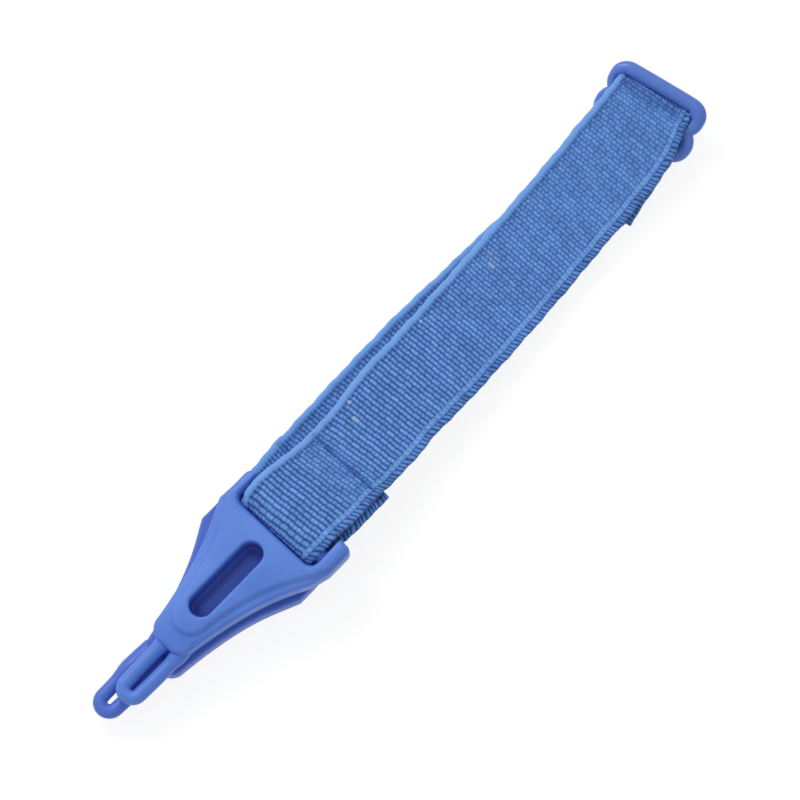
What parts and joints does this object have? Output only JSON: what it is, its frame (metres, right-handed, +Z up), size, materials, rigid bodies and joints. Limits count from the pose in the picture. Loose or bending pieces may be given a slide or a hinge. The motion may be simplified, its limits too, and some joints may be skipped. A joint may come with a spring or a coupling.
{
  "type": "adjustable elastic strap",
  "caption": "Woven elastic strap folded back through a bar slider, with a moulded tab sewn to each end; each tab has a long pocket and narrows to a slim rod loop.",
  "frame": {"origin": "middle of the whole strap's bounding box, on the table it lies on", "axes": "+X along the strap towards the slider, +Y across it, +Z up from the table"},
  "size_m": [0.1299, 0.0205, 0.0097],
  "materials": {
    "band": "woven elastic, matt",
    "tab_plastic": "soft satin",
    "slider_plastic": "smooth satin",
    "thread": "matt sewing thread"
  },
  "bodies": {
    "lower_band": {"lower_run": "band", "slider_bar_loop": "band", "slider_seam": "thread"},
    "slider_body": {"slider": "slider_plastic", "top_wrap": "band", "top_tail": "band"},
    "throat": {"top_throat": "band"},
    "upper_band": {"top_run": "band"},
    "front_loop": {"front_bar_loop": "band", "front_seam": "thread"},
    "front_tab_body": {"front_tab": "tab_plastic"},
    "rear_loop": {"rear_bar_loop": "band", "rear_seam": "thread"},
    "rear_tab_body": {"rear_tab": "tab_plastic"}
  },
  "joints": [
    {"name": "slider_tilt", "type": "hinge", "parent": "lower_band", "child": "slider_body", "pos_m": [0.05609, -0.00118, 0.00207], "axis": [-0.1045, 0.9945, 0], "range_deg": [0, 28]},
    {"name": "strap_opening", "type": "hinge", "parent": "slider_body", "child": "throat", "pos_m": [0.06105, -0.00066, 0.00627], "axis": [-0.1045, 0.9945, 0], "range_deg": [0, 150], "deforming": ["top_throat"]},
    {"name": "length_adjust", "type": "slide", "parent": "throat", "child": "upper_band", "axis": [-1, 0, 0], "range_m": [0, 0.012], "deforming": ["top_tail"]},
    {"name": "top_stretch", "type": "slide", "parent": "upper_band", "child": "front_loop", "axis": [-1, 0, 0], "range_m": [0, 0.03], "stiffness_N_per_m": 100},
    {"name": "front_tab_swing", "type": "hinge", "parent": "front_loop", "child": "front_tab_body", "pos_m": [-0.02724, -0.00049, 0.0076], "axis": [0.0698, 0.9976, 0], "range_deg": [0, 90]},
    {"name": "lower_stretch", "type": "slide", "parent": "lower_band", "child": "rear_loop", "axis": [-1, 0, 0], "range_m": [0, 0.03], "stiffness_N_per_m": 100},
    {"name": "rear_tab_swing", "type": "hinge", "parent": "rear_loop", "child": "rear_tab_body", "pos_m": [-0.03004, 0.00051, 0.00212], "axis": [-0.0175, -0.9998, 0], "range_deg": [0, 45]}
  ]
}
